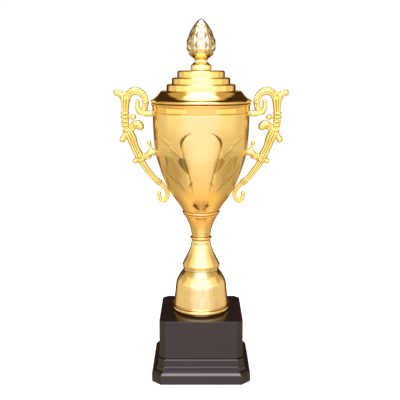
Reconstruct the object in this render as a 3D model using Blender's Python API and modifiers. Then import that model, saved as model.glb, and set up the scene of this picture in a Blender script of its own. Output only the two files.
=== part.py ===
"""Gold cup trophy: spun cup with a lift-off lid, two cast scroll handles, a turned stem and a plinth.

Frame: the origin is on the floor under the middle of the plinth, +Z is up, the front faces -Y and
the handles reach out along X.  Lengths in the profiles are millimetres, scaled once by MM.
Heights are measured from the lower edge of the plinth skirt, which the foot pads lift off the floor.
"""

import math

import bmesh
import bpy
from mathutils import Matrix, Vector

# ---------------------------------------------------------------- driving dimensions (millimetres)
MM = 0.001
GAP = 0.3                   # play left between pieces that touch
FOOT_LIFT = 0.6             # how far the foot pads stand proud of the skirt

SKIRT_HALF = 50.0           # the plinth skirt is 100 mm square
SKIRT_CHAMFER = 9.2         # corner cut of the skirt, along each side
BLOCK_HALF = 42.2           # the plinth block is 84.4 mm square
BLOCK_CHAMFER = 5.4
SKIRT_TOP = 23.8
BLOCK_TOP = 63.5
BLOCK_WALL = 2.5
WEB_BOTTOM = 21.3           # underside of the skirt's web, which the tie rod passes through
WEIGHT_HALF = 36.0          # iron weight inside the block
WEIGHT_HEIGHT = 12.0
WEIGHT_CHAMFER = 4.0
WEIGHT_HOLE = 4.5
BOARD_HALF = 46.8           # fibre board that closes the underside
BOARD_BOTTOM = 0.5
BOARD_TOP = 2.5
PAD_RADIUS = 5.0
PAD_PLACE = 34.0            # how far each foot pad lies from the middle, along X and along Y
PAD_TOP = 0.2

ROD_RADIUS = 2.9            # M6 tie rod through the whole stem
ROD_HOLE = 3.6
NUT_RADIUS = 5.7            # across the corners of an M6 nut
NUT_HOLE = 3.6              # across the corners of its six-sided clearance
NUT_HEIGHT = 5.0
ROD_WASHER_RADIUS = 9.0
ROD_WASHER_HEIGHT = 1.4
ROD_TAIL = 3.0              # how far the rod passes each nut
STEM_WALL = 1.0             # spun stem pieces

BOWL_WALL = 1.0
BOWL_FLOOR = 169.8          # underside of the bowl
BOWL_RIM = 278.7            # where the lid's ring rests
LID_WALL = 0.9
LID_TOP = 310.8
CASTING_STAND_OFF = 0.42    # how far the handle bosses stay off the bowl

SCREW_RADIUS = 1.5          # M3 screws that hold the handles
SCREW_HOLE = 1.85
SCREW_LENGTH = 7.5
SCREW_BORE = 6.1            # how deep the handle bosses are bored, from the bowl's outer face
HEAD_RADIUS = 2.9
HEAD_HEIGHT = 2.0
HEAD_EDGE = 0.8             # height of the head's sloping edge
WASHER_RADIUS = 3.6
WASHER_HEIGHT = 0.6
WASHER_SEAT = 0.75          # how far the flat washer stands off the round wall at its middle
BORE_REACH = 6.0            # how far the cutter of a screw hole reaches to each side of the wall

STUD_RADIUS = 1.9           # M4 stud that holds the finial on the lid
STUD_HOLE = 2.3
STUD_NUT_HOLE = 2.5
STUD_TOP = 333.0
STUD_BOTTOM = 303.2
STUD_WASHER_RADIUS = 5.5
STUD_WASHER_HEIGHT = 0.9
STUD_NUT_RADIUS = 4.0
STUD_NUT_HEIGHT = 3.2
FINIAL_TIP = 361.6

HANDLE_DEPTH = 0.82         # thickness of the castings front to back, against their width
STROKE_TWIST = 0.17         # turn of the first stroke's facets, in radians
STROKE_STEP = 0.11          # and how much further each next stroke is turned
BALL_TWIST = 0.4            # the same for the balls
BALL_STEP = 0.13
BALL_SWELL = 1.08           # a ball's radius against the stroke it ends

ROUND_STEPS = 32            # facets round the large turned pieces
STEM_STEPS = 24
SMALL_STEPS = 16
FASTENER_STEPS = 12
HEX = 6                     # sides of a nut

# Handle strokes, in millimetres from the axis and in height, as (out, height, radius).
COLUMN = [(75.2, 250.6, 3.9), (76.0, 254.5, 3.3), (76.3, 259.5, 3.9), (76.6, 264.5, 4.4),
          (76.5, 269.0, 3.9), (76.2, 276.0, 4.2), (75.8, 281.5, 4.6), (76.0, 284.2, 4.2)]
TOP_LOBE = [(76.8, 279.0, 2.6), (78.7, 284.6, 3.0), (81.3, 287.7, 3.2), (84.2, 289.1, 3.3)]
ARCH = [(74.3, 279.5, 2.8), (72.6, 286.2, 3.4), (69.2, 290.3, 3.9), (64.7, 291.0, 3.9),
        (60.2, 289.0, 3.6), (56.9, 284.8, 3.3), (55.7, 279.4, 3.1), (56.4, 273.8, 3.1),
        (58.6, 269.9, 3.2), (61.6, 269.3, 2.9), (63.5, 272.0, 2.7), (63.9, 276.0, 2.5),
        (63.5, 279.6, 2.2)]
ARCH_KNUCKLE = [(58.4, 270.8, 2.8), (58.2, 267.2, 2.9)]
BALL_LINK = [(76.0, 264.8, 1.7), (71.0, 264.8, 1.6), (69.4, 264.8, 1.8)]
CURL = [(72.4, 249.0, 4.0), (69.8, 253.8, 3.9), (66.2, 257.3, 4.0), (62.9, 257.4, 3.9),
        (61.5, 256.2, 3.4)]
SPUR = [(74.4, 250.4, 3.2), (77.4, 245.4, 2.7), (79.4, 242.3, 3.1)]
LIMB = [(74.0, 252.2, 3.6), (71.6, 247.2, 4.8), (69.8, 242.6, 4.8), (68.2, 237.4, 4.3),
        (66.1, 232.2, 4.1), (63.6, 227.4, 4.1), (62.0, 223.4, 3.7)]
LOW_SPUR = [(63.4, 223.6, 2.4), (66.8, 220.2, 2.4)]
BRANCH = [(62.4, 224.2, 3.6), (57.6, 224.6, 3.2), (53.6, 226.0, 3.3), (51.0, 228.8, 2.9),
          (50.6, 232.4, 1.8), (51.6, 236.0, 1.4), (52.6, 238.8, 1.9)]
LOW_ARM = [(62.2, 223.0, 3.8), (58.4, 216.4, 3.2), (54.0, 210.4, 3.0), (49.2, 204.2, 2.8),
           (45.4, 200.4, 2.9), (43.1, 198.5, 3.2), (41.0, 196.7, 2.5), (38.6, 194.2, 2.4),
           (35.8, 190.9, 2.5), (34.5, 186.6, 2.5), (35.3, 182.2, 2.6), (38.4, 179.3, 2.7),
           (41.5, 180.2, 2.6), (42.9, 183.4, 2.4), (43.0, 186.6, 2.2)]
KNOB = (68.3, 264.8, 2.9)
TOP_BOSS_RADIUS = 3.1
LOW_BOSS_RADIUS = 3.2

# Where each handle is screwed to the bowl: height, how far out the boss starts, and its tilt.
TOP_FIXING = {"height": 268.5, "boss_end": 57.4, "tilt": math.radians(1.0)}
LOW_FIXING = {"height": 229.6, "boss_end": 53.4, "tilt": math.radians(10.5)}

COLLECTION = "cup_trophy"

GOLD = {"color": (0.80, 0.53, 0.20), "metallic": 1.0}
MATERIALS = {
    "bright_gold": {**GOLD, "roughness": 0.12},
    "satin_gold": {**GOLD, "roughness": 0.34},
    "cast_gold": {"color": (0.86, 0.64, 0.27), "metallic": 1.0, "roughness": 0.2},
    "champagne": {"color": (0.85, 0.74, 0.52), "metallic": 1.0, "roughness": 0.12},
    "black_plastic": {"color": (0.025, 0.018, 0.016), "metallic": 0.0, "roughness": 0.22},
    "zinc_steel": {"color": (0.55, 0.56, 0.58), "metallic": 1.0, "roughness": 0.35},
    "cast_iron": {"color": (0.12, 0.12, 0.13), "metallic": 0.8, "roughness": 0.6},
    "amber_plastic": {"color": (0.17, 0.085, 0.02), "metallic": 0.0, "roughness": 0.4},
    "fibre_board": {"color": (0.10, 0.07, 0.05), "metallic": 0.0, "roughness": 0.85},
    "pad_rubber": {"color": (0.03, 0.03, 0.03), "metallic": 0.0, "roughness": 0.8},
}


# ---------------------------------------------------------------- scene and materials
def clear_scene():
    for old in list(bpy.data.objects):
        bpy.data.objects.remove(old, do_unlink=True)


def make_collection(name):
    collection = bpy.data.collections.new(name)
    bpy.context.scene.collection.children.link(collection)
    return collection


def material(node_name, look):
    """Each node has a material of its own, with one of the looks above."""
    values = MATERIALS[look]
    mat = bpy.data.materials.new(node_name + "_" + look)
    mat.use_nodes = True
    shader = mat.node_tree.nodes["Principled BSDF"]
    shader.inputs["Base Color"].default_value = (*values["color"], 1.0)
    shader.inputs["Metallic"].default_value = values["metallic"]
    shader.inputs["Roughness"].default_value = values["roughness"]
    mat.diffuse_color = (*values["color"], 1.0)
    return mat


def add_node(name, mesh, look, collection, sharp=30.0):
    """Link a mesh as a finished node, shaded smooth except at its edges."""
    obj = bpy.data.objects.new(name, mesh)
    mesh.name = name
    mesh.materials.clear()
    mesh.materials.append(material(name, look))
    mesh.shade_smooth()
    mesh.set_sharp_from_angle(angle=math.radians(sharp))
    collection.objects.link(obj)
    obj.location = (0.0, 0.0, FOOT_LIFT * MM)
    return obj


def evaluated_copy(obj):
    """The mesh an object shows once its modifiers have run, in its own space."""
    bpy.context.view_layer.update()
    graph = bpy.context.evaluated_depsgraph_get()
    return bpy.data.meshes.new_from_object(obj.evaluated_get(graph), depsgraph=graph)


# ---------------------------------------------------------------- outlines
def smooth(points, per_span=2):
    """Points along a Catmull-Rom curve through the given ones."""
    padded = [points[0]] + list(points) + [points[-1]]
    result = []
    for i in range(1, len(padded) - 2):
        before, start, end, after = (Vector(p) for p in padded[i - 1:i + 3])
        for k in range(per_span):
            t = k / per_span
            bend = 2 * before - 5 * start + 4 * end - after
            twist = 3 * start - before - 3 * end + after
            result.append(tuple(0.5 * (2 * start + (end - before) * t + bend * t * t + twist * t ** 3)))
    result.append(tuple(points[-1]))
    return result


def arc(center, radius, start, end, count):
    """Points on an arc, with its angles in degrees, anticlockwise from the radial direction."""
    points = []
    for i in range(count + 1):
        angle = math.radians(start + (end - start) * i / count)
        points.append((center[0] + radius * math.cos(angle), center[1] + radius * math.sin(angle)))
    return points


# ---------------------------------------------------------------- makers
def turned(name, outline, look, collection, steps, wall=None, closed=False):
    """Spin an outline of (radius, height) pairs, listed down its outer side, about the axis."""
    mesh = bpy.data.meshes.new(name)
    verts = [(r * MM, 0.0, z * MM) for r, z in outline]
    edges = [(i, i + 1) for i in range(len(verts) - 1)]
    if closed:
        edges.append((len(verts) - 1, 0))
    mesh.from_pydata(verts, edges, [])
    obj = bpy.data.objects.new(name, mesh)
    collection.objects.link(obj)
    screw = obj.modifiers.new("spin", "SCREW")
    screw.steps = steps
    screw.render_steps = steps
    screw.use_merge_vertices = True
    screw.merge_threshold = 0.00001
    if wall:
        shell = obj.modifiers.new("wall", "SOLIDIFY")
        shell.thickness = wall * MM
        shell.offset = -1.0
        shell.use_even_offset = True
    final = evaluated_copy(obj)
    bpy.data.objects.remove(obj)
    return add_node(name, final, look, collection)


def octagon(half, chamfer, height):
    """The eight corners of a square with cut corners."""
    side = half - chamfer
    flat = [(half, -side), (half, side), (side, half), (-side, half),
            (-half, side), (-half, -side), (-side, -half), (side, -half)]
    return [(x * MM, y * MM, height * MM) for x, y in flat]


def square_sweep(name, outline, look, collection):
    """Sweep a closed outline of (half width, chamfer, height) round the cut square.

    The outline runs down the outer side and back up the inner side."""
    mesh = bpy.data.meshes.new(name)
    verts = [corner for level in outline for corner in octagon(*level)]
    faces = []
    levels = len(outline)
    for i in range(levels):
        below = (i + 1) % levels
        for k in range(8):
            after = (k + 1) % 8
            faces.append((i * 8 + k, below * 8 + k, below * 8 + after, i * 8 + after))
    mesh.from_pydata(verts, [], faces)
    return add_node(name, mesh, look, collection)


def chamfer_at(half):
    """The corner cut grows evenly from the block out to the skirt's edge."""
    share = (half - BLOCK_HALF) / (SKIRT_HALF - BLOCK_HALF)
    return BLOCK_CHAMFER + share * (SKIRT_CHAMFER - BLOCK_CHAMFER)


def hole_level(height, radius=ROD_HOLE):
    """A regular eight-sided hole for the tie rod."""
    return (radius, radius * (2.0 - math.sqrt(2.0)), height)


def cylinder_mesh(name, radius, bottom, top, segments, hole=None):
    """A disc or a ring that stands on its axis, in metres from millimetres."""
    bm = bmesh.new()
    if hole is None:
        bmesh.ops.create_cone(bm, cap_ends=True, segments=segments, radius1=radius * MM,
                              radius2=radius * MM, depth=(top - bottom) * MM)
        bmesh.ops.translate(bm, verts=bm.verts, vec=(0.0, 0.0, (top + bottom) / 2 * MM))
    else:
        rings = [(radius, top), (radius, bottom), (hole, bottom), (hole, top)]
        loops = []
        for ring_radius, height in rings:
            loop = []
            for k in range(segments):
                angle = 2 * math.pi * k / segments
                x = ring_radius * MM * math.cos(angle)
                y = ring_radius * MM * math.sin(angle)
                loop.append(bm.verts.new((x, y, height * MM)))
            loops.append(loop)
        for i, loop in enumerate(loops):
            following = loops[(i + 1) % 4]
            for k in range(segments):
                after = (k + 1) % segments
                bm.faces.new((loop[k], following[k], following[after], loop[after]))
    mesh = bpy.data.meshes.new(name)
    bm.to_mesh(mesh)
    bm.free()
    return mesh


def disc(name, radius, bottom, top, look, collection, segments=SMALL_STEPS, hole=None):
    mesh = cylinder_mesh(name, radius, bottom, top, segments, hole)
    return add_node(name, mesh, look, collection)


def boolean(obj, cutter, operation):
    """Join or cut with the exact solver, and keep the result as the object's own mesh."""
    step = obj.modifiers.new(operation.lower(), "BOOLEAN")
    step.operation = operation
    step.solver = "EXACT"
    step.use_self = operation == "UNION"
    step.object = cutter
    result = evaluated_copy(obj)
    obj.modifiers.clear()
    old = obj.data
    obj.data = result
    bpy.data.meshes.remove(old)


def hide_cutter(obj):
    obj.hide_render = True
    obj.display_type = "WIRE"


# ---------------------------------------------------------------- plinth and its inside
def build_plinth(collection):
    outer = [(SKIRT_HALF, 0.0), (SKIRT_HALF, 8.2), (49.6, 9.0), (47.3, 11.2), (45.3, 11.6), (44.9, 12.0),
             (44.4, 15.6), (43.5, 16.2), (43.3, 17.0), (43.0, 23.1), (42.4, SKIRT_TOP)]
    inner = [(41.0, WEB_BOTTOM), (41.4, 12.0), (44.9, 7.0), (44.9, 2.8), (47.2, 2.8), (47.2, 0.0)]
    outline = [(half, chamfer_at(half), z) for half, z in reversed(outer)]
    outline += [(half, chamfer_at(half), z) for half, z in reversed(inner)]
    outline += [hole_level(WEB_BOTTOM), hole_level(SKIRT_TOP)]
    square_sweep("plinth_skirt", outline, "black_plastic", collection)

    foot = SKIRT_TOP + GAP
    inside = BLOCK_HALF - BLOCK_WALL
    block = [(BLOCK_HALF - 1.0, chamfer_at(BLOCK_HALF - 1.0), BLOCK_TOP),
             (BLOCK_HALF - 0.3, chamfer_at(BLOCK_HALF - 0.3), BLOCK_TOP - 0.3),
             (BLOCK_HALF, BLOCK_CHAMFER, BLOCK_TOP - 1.0),
             (BLOCK_HALF, BLOCK_CHAMFER, foot),
             (inside, chamfer_at(inside), foot),
             (inside, chamfer_at(inside), BLOCK_TOP - BLOCK_WALL),
             hole_level(BLOCK_TOP - BLOCK_WALL),
             hole_level(BLOCK_TOP)]
    square_sweep("plinth_block", block, "black_plastic", collection)

    weight_top = foot + WEIGHT_HEIGHT
    weight = [(WEIGHT_HALF, WEIGHT_CHAMFER, weight_top), (WEIGHT_HALF, WEIGHT_CHAMFER, foot),
              hole_level(foot, WEIGHT_HOLE), hole_level(weight_top, WEIGHT_HOLE)]
    square_sweep("base_weight", weight, "cast_iron", collection)


def slab(name, half, chamfer, bottom, top, look, collection):
    """A solid square board with cut corners."""
    bm = bmesh.new()
    lower = [bm.verts.new(corner) for corner in octagon(half, chamfer, bottom)]
    bm.faces.new(reversed(lower))
    upper = [bm.verts.new(corner) for corner in octagon(half, chamfer, top)]
    bm.faces.new(upper)
    for k in range(8):
        after = (k + 1) % 8
        bm.faces.new((lower[k], lower[after], upper[after], upper[k]))
    mesh = bpy.data.meshes.new(name)
    bm.to_mesh(mesh)
    bm.free()
    return add_node(name, mesh, look, collection)


def build_underside(collection):
    slab("base_board", BOARD_HALF, chamfer_at(BOARD_HALF), BOARD_BOTTOM, BOARD_TOP, "fibre_board",
         collection)
    corners = [(-1, -1), (1, -1), (1, 1), (-1, 1)]
    for number, (x, y) in enumerate(corners, start=1):
        name = "foot_pad_" + str(number)
        pad = disc(name, PAD_RADIUS, -FOOT_LIFT, PAD_TOP, "pad_rubber", collection, FASTENER_STEPS)
        pad.location.x = x * PAD_PLACE * MM
        pad.location.y = y * PAD_PLACE * MM


# ---------------------------------------------------------------- tie rod
def build_tie_rod(collection):
    """The rod that clamps the plinth, the stem and the bowl, with a washer and a nut at each end."""
    low_washer_top = WEB_BOTTOM - GAP
    low_washer = low_washer_top - ROD_WASHER_HEIGHT
    low_nut = low_washer - GAP - NUT_HEIGHT
    top_washer = BOWL_FLOOR + BOWL_WALL + GAP
    top_nut = top_washer + ROD_WASHER_HEIGHT + GAP
    top_nut_end = top_nut + NUT_HEIGHT
    disc("tie_rod", ROD_RADIUS, low_nut - ROD_TAIL, top_nut_end + ROD_TAIL, "zinc_steel", collection)
    disc("rod_washer_bottom", ROD_WASHER_RADIUS, low_washer, low_washer_top, "zinc_steel",
         collection, hole=ROD_HOLE)
    disc("rod_nut_bottom", NUT_RADIUS, low_nut, low_nut + NUT_HEIGHT, "zinc_steel", collection,
         HEX, NUT_HOLE)
    disc("rod_washer_top", ROD_WASHER_RADIUS, top_washer, top_washer + ROD_WASHER_HEIGHT,
         "zinc_steel", collection, hole=ROD_HOLE)
    disc("rod_nut_top", NUT_RADIUS, top_nut, top_nut_end, "zinc_steel", collection, HEX, NUT_HOLE)


# ---------------------------------------------------------------- stem
def build_stem(collection):
    ring_base = BLOCK_TOP + GAP
    ring = [(28.2, 68.9), (29.2, 68.5), (29.8, 67.4), (29.9, 66.2), (29.6, 64.6), (29.0, ring_base),
            (22.0, ring_base), (22.0, 68.9)]
    turned("foot_ring", ring, "bright_gold", collection, ROUND_STEPS, closed=True)

    bell = [(ROD_HOLE, 107.0), (17.6, 107.0), (18.9, 106.4), (20.6, 103.9), (23.9, 98.4),
            (25.8, 93.4), (26.9, 84.6), (28.4, 69.2)]
    turned("bell", bell, "bright_gold", collection, ROUND_STEPS, wall=STEM_WALL)

    cone = [(ROD_HOLE, 138.7), (9.0, 138.7), (9.8, 138.1), (10.1, 135.6), (11.6, 129.6),
            (14.4, 122.4), (18.4, 115.1), (19.5, 112.9), (19.4, 111.7), (18.6, 109.2), (18.45, 107.3)]
    turned("stem_cone", cone, "bright_gold", collection, STEM_STEPS, wall=STEM_WALL)

    bead = arc((9.5, 140.7), 1.7, 90, -90, 4) + [(ROD_HOLE, 139.0), (ROD_HOLE, 142.4)]
    turned("lower_bead", bead, "bright_gold", collection, STEM_STEPS, closed=True)

    neck = [(ROD_HOLE, 166.2), (17.4, 166.2), (18.2, 165.7), (17.3, 164.3), (14.7, 160.0),
            (11.9, 153.6), (10.3, 147.2), (9.7, 142.7)]
    turned("neck", neck, "satin_gold", collection, STEM_STEPS, wall=STEM_WALL)

    bead = arc((17.9, 168.0), 1.5, 90, -90, 4) + [(ROD_HOLE, 166.5), (ROD_HOLE, 169.5)]
    turned("upper_bead", bead, "bright_gold", collection, STEM_STEPS, closed=True)


# ---------------------------------------------------------------- cup
def bowl_outline():
    rim = [(48.2, BOWL_RIM), (49.5, BOWL_RIM), (50.2, 277.7), (50.2, 276.5), (49.5, 275.4)]
    body = [(48.9, 273.6), (48.4, 254.5), (47.2, 236.5), (45.2, 225.0), (41.6, 213.0), (37.2, 200.4),
            (30.9, 187.4), (23.4, 176.6), (18.7, BOWL_FLOOR)]
    return rim + body + [(ROD_HOLE, BOWL_FLOOR)]


def bowl_radius(height):
    """Outer radius of the bowl at a height."""
    outline = bowl_outline()
    for (r_top, z_top), (r_low, z_low) in zip(outline, outline[1:]):
        if z_low <= height <= z_top:
            share = (height - z_low) / max(z_top - z_low, 1e-9)
            return r_low + share * (r_top - r_low)
    raise ValueError("the height is not on the bowl")


def fixing_matrix(fixing, side):
    """Local +Z points out of the bowl along the screw, from the bowl's outer face."""
    point = Vector((side * bowl_radius(fixing["height"]) * MM, 0.0, fixing["height"] * MM))
    turn = math.pi / 2 + fixing["tilt"]
    return Matrix.Translation(point) @ Matrix.Rotation(side * turn, 4, "Y")


def screw_mesh(name):
    """A pan head with its shank, turned in one outline; local +Z is the direction it is driven."""
    outline = [(0.0, SCREW_LENGTH), (SCREW_RADIUS, SCREW_LENGTH), (SCREW_RADIUS, 0.0),
               (HEAD_RADIUS, 0.0), (HEAD_RADIUS, HEAD_EDGE - HEAD_HEIGHT),
               (HEAD_RADIUS - HEAD_EDGE, -HEAD_HEIGHT), (0.0, -HEAD_HEIGHT)]
    holder = bpy.data.collections.new("screw_outline")
    bpy.context.scene.collection.children.link(holder)
    obj = turned(name, outline, "zinc_steel", holder, FASTENER_STEPS)
    mesh = obj.data
    bpy.data.objects.remove(obj)
    bpy.data.collections.remove(holder)
    return mesh


def build_cup(collection, cutters):
    """The bowl with its four screw holes, and the screws and washers inside it."""
    bowl = turned("bowl", bowl_outline(), "satin_gold", collection, ROUND_STEPS, wall=BOWL_WALL)
    washer_top = -(BOWL_WALL + WASHER_SEAT)
    washer_low = washer_top - WASHER_HEIGHT
    under_head = Matrix.Translation((0.0, 0.0, (washer_low - GAP) * MM))
    for side, side_name in ((-1, "left"), (1, "right")):
        for level, fixing in (("upper", TOP_FIXING), ("lower", LOW_FIXING)):
            name = side_name + "_" + level
            place = Matrix.Translation((0.0, 0.0, FOOT_LIFT * MM)) @ fixing_matrix(fixing, side)
            bore_mesh = cylinder_mesh("hole", SCREW_HOLE, -BORE_REACH, BORE_REACH, FASTENER_STEPS)
            bore = bpy.data.objects.new("hole_" + name, bore_mesh)
            bore.matrix_world = place
            cutters.objects.link(bore)
            hide_cutter(bore)
            boolean(bowl, bore, "DIFFERENCE")

            mesh = cylinder_mesh("washer", WASHER_RADIUS, washer_low, washer_top, FASTENER_STEPS,
                                 SCREW_HOLE)
            washer = add_node("handle_washer_" + name, mesh, "zinc_steel", collection)
            washer.matrix_world = place
            mesh = screw_mesh("screw_" + name)
            screw = add_node("handle_screw_" + name, mesh, "zinc_steel", collection)
            screw.matrix_world = place @ under_head


# ---------------------------------------------------------------- handles
def stroke_mesh(points, twist):
    """A tube along one stroke of the left handle, as a closed mesh.

    The twist turns its facets, so that no two strokes share a plane where they join."""
    curve = bpy.data.curves.new("stroke", "CURVE")
    curve.dimensions = "3D"
    curve.bevel_depth = MM
    curve.bevel_resolution = 2
    curve.use_fill_caps = True
    curve.render_resolution_u = 0
    line = curve.splines.new("POLY")
    line.points.add(len(points) - 1)
    for spot, (out, height, radius) in zip(line.points, points):
        spot.co = (-out * MM, 0.0, height * MM, 1.0)
        spot.radius = radius
        spot.tilt = twist
    obj = bpy.data.objects.new("stroke", curve)
    bpy.context.scene.collection.objects.link(obj)
    mesh = evaluated_copy(obj)
    bpy.data.objects.remove(obj)
    bm = bmesh.new()
    bm.from_mesh(mesh)
    bmesh.ops.remove_doubles(bm, verts=bm.verts, dist=0.00001)
    bm.to_mesh(mesh)
    bm.free()
    return mesh


def ball_mesh(center, radius, twist):
    bm = bmesh.new()
    bmesh.ops.create_uvsphere(bm, u_segments=8, v_segments=5, radius=radius * MM)
    bmesh.ops.rotate(bm, verts=bm.verts, matrix=Matrix.Rotation(twist, 3, (0.3, 0.5, 0.8)))
    bmesh.ops.translate(bm, verts=bm.verts, vec=(-center[0] * MM, 0.0, center[1] * MM))
    mesh = bpy.data.meshes.new("ball")
    bm.to_mesh(mesh)
    bm.free()
    return mesh


def build_left_handle(collection, cutters):
    """One casting: every stroke, ball and boss joined into a single solid."""
    strokes = [COLUMN, TOP_LOBE, ARCH, ARCH_KNUCKLE, BALL_LINK, CURL, SPUR, LIMB, LOW_SPUR, BRANCH,
               LOW_ARM]
    ends = [KNOB, TOP_LOBE[-1], SPUR[-1], LOW_SPUR[-1], BRANCH[-1], CURL[-1], ARCH[-1], LOW_ARM[-1],
            LOW_ARM[5]]
    pieces = [stroke_mesh(stroke, STROKE_TWIST + STROKE_STEP * i) for i, stroke in enumerate(strokes)]
    for i, spot in enumerate(ends):
        pieces.append(ball_mesh(spot, spot[2] * BALL_SWELL, BALL_TWIST + BALL_STEP * i))

    handle = bpy.data.objects.new("left_handle", pieces[0])
    collection.objects.link(handle)
    helper = bpy.data.objects.new("handle_piece", pieces[1])
    cutters.objects.link(helper)
    hide_cutter(helper)
    for mesh in pieces[1:]:
        helper.data = mesh
        boolean(handle, helper, "UNION")
    handle.data.transform(Matrix.Diagonal((1.0, HANDLE_DEPTH, 1.0, 1.0)))

    for fixing, radius in ((TOP_FIXING, TOP_BOSS_RADIUS), (LOW_FIXING, LOW_BOSS_RADIUS)):
        length = fixing["boss_end"] - bowl_radius(fixing["height"])
        helper.matrix_world = fixing_matrix(fixing, -1)
        helper.data = cylinder_mesh("boss", radius, CASTING_STAND_OFF, length, FASTENER_STEPS)
        boolean(handle, helper, "UNION")
        helper.data = cylinder_mesh("bore", SCREW_HOLE, -GAP, SCREW_BORE, FASTENER_STEPS)
        boolean(handle, helper, "DIFFERENCE")
    bpy.data.objects.remove(helper)
    mesh = handle.data
    bpy.data.objects.remove(handle)
    return add_node("left_handle", mesh, "cast_gold", collection, sharp=45.0)


def build_handles(collection, cutters):
    """The right handle is the left one mirrored in the plane X = 0."""
    left = build_left_handle(collection, cutters)
    mesh = left.data.copy()
    mesh.transform(Matrix.Diagonal((-1.0, 1.0, 1.0, 1.0)))
    mesh.flip_normals()
    add_node("right_handle", mesh, "cast_gold", collection, sharp=45.0)


# ---------------------------------------------------------------- lid and finial
def tier(radius, top, base):
    """One rounded step of the lid."""
    return [(radius - 1.5, top), (radius - 0.5, top - 0.5), (radius, top - 1.6), (radius + 0.15, base)]


def build_lid(collection):
    ring = [(45.9, 281.2), (47.2, 281.2), (47.2, 280.4), (48.9, 280.4), (48.9, BOWL_RIM + GAP),
            (47.3, BOWL_RIM + GAP), (47.3, 273.4), (46.8, 272.8), (45.9, 272.8)]
    turned("lid_locating_ring", ring, "amber_plastic", collection, ROUND_STEPS, closed=True)

    shell = [(STUD_HOLE, LID_TOP)]
    shell += tier(23.7, LID_TOP, 304.4) + tier(29.1, 304.0, 297.9) + tier(34.5, 297.6, 291.4)
    shell += [(39.7, 291.0), (40.9, 290.3)]
    shell += smooth([(41.5, 289.3), (43.6, 286.6), (46.6, 283.6), (50.1, 281.9)])
    shell += [(50.6, 281.2), (50.6, 280.0), (50.1, 279.1)]
    turned("lid_shell", shell, "bright_gold", collection, ROUND_STEPS, wall=LID_WALL)


def build_finial(collection):
    """The stud, washer and nut that hold the finial, and its collar, calyx and bud."""
    washer_top = LID_TOP - LID_WALL - GAP
    washer_low = washer_top - STUD_WASHER_HEIGHT
    nut_top = washer_low - GAP
    nut_low = nut_top - STUD_NUT_HEIGHT
    disc("finial_stud", STUD_RADIUS, STUD_BOTTOM, STUD_TOP, "zinc_steel", collection, FASTENER_STEPS)
    disc("finial_washer", STUD_WASHER_RADIUS, washer_low, washer_top, "zinc_steel", collection,
         hole=STUD_HOLE)
    disc("finial_nut", STUD_NUT_RADIUS, nut_low, nut_top, "zinc_steel", collection, HEX,
         STUD_NUT_HOLE)

    base = LID_TOP + GAP
    collar = [(6.8, 318.8), (8.4, 318.0), (9.7, 316.4), (10.1, 315.4), (10.2, 312.2), (9.8, base),
              (STUD_HOLE, base), (STUD_HOLE, 318.8)]
    turned("finial_collar", collar, "bright_gold", collection, SMALL_STEPS, closed=True)

    calyx = [(12.1, 327.4), (12.1, 326.9), (10.5, 325.2), (8.3, 323.4), (6.6, 322.2), (6.1, 321.0),
             (6.2, 319.1), (STUD_HOLE, 319.1), (STUD_HOLE, 322.4), (7.2, 323.6), (9.6, 325.4)]
    turned("finial_calyx", calyx, "bright_gold", collection, SMALL_STEPS, closed=True)

    flank = smooth([(4.3, 358.4), (8.8, 352.5), (12.9, 344.2), (14.7, 336.0), (13.8, 329.6),
                    (11.9, 327.7)])
    hole_top = STUD_TOP + GAP
    bud = [(0.0, FINIAL_TIP)] + flank
    bud += [(9.2, 325.8), (6.9, 324.1), (3.2, 323.0), (STUD_HOLE, 323.0), (STUD_HOLE, hole_top),
            (0.0, hole_top)]
    turned("finial_bud", bud, "champagne", collection, SMALL_STEPS)


# ---------------------------------------------------------------- assembly
def main():
    clear_scene()
    trophy = make_collection(COLLECTION)
    cutters = make_collection("cutters")
    build_plinth(trophy)
    build_underside(trophy)
    build_tie_rod(trophy)
    build_stem(trophy)
    build_cup(trophy, cutters)
    build_handles(trophy, cutters)
    build_lid(trophy)
    build_finial(trophy)


main()
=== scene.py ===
"""Looks of the gold cup trophy: fine meshes, procedural materials, pale floor and studio light.

Outlines are (radius, height) pairs in millimetres above the plinth skirt's lower edge, listed down
the outer side of a piece.  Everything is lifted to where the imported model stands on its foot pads.
"""

import math

import bmesh
import bpy
import numpy as np
from mathutils import Matrix, Vector


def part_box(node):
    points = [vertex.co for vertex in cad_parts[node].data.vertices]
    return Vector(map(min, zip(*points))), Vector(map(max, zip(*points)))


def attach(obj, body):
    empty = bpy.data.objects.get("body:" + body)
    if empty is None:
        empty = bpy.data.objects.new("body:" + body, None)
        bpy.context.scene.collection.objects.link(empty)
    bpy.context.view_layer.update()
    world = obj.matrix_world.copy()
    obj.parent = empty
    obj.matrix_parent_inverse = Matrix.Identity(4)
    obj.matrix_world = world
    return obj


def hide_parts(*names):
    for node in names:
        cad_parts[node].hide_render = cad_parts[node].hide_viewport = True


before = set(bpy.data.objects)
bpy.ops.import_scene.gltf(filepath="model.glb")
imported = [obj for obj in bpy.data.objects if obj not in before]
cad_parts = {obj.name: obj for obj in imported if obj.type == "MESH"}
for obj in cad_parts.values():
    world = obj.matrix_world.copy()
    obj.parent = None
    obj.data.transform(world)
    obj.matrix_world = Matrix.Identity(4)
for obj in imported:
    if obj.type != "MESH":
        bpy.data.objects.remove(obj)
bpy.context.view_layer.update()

MM = 0.001
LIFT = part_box("plinth_skirt")[0][2]

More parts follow.
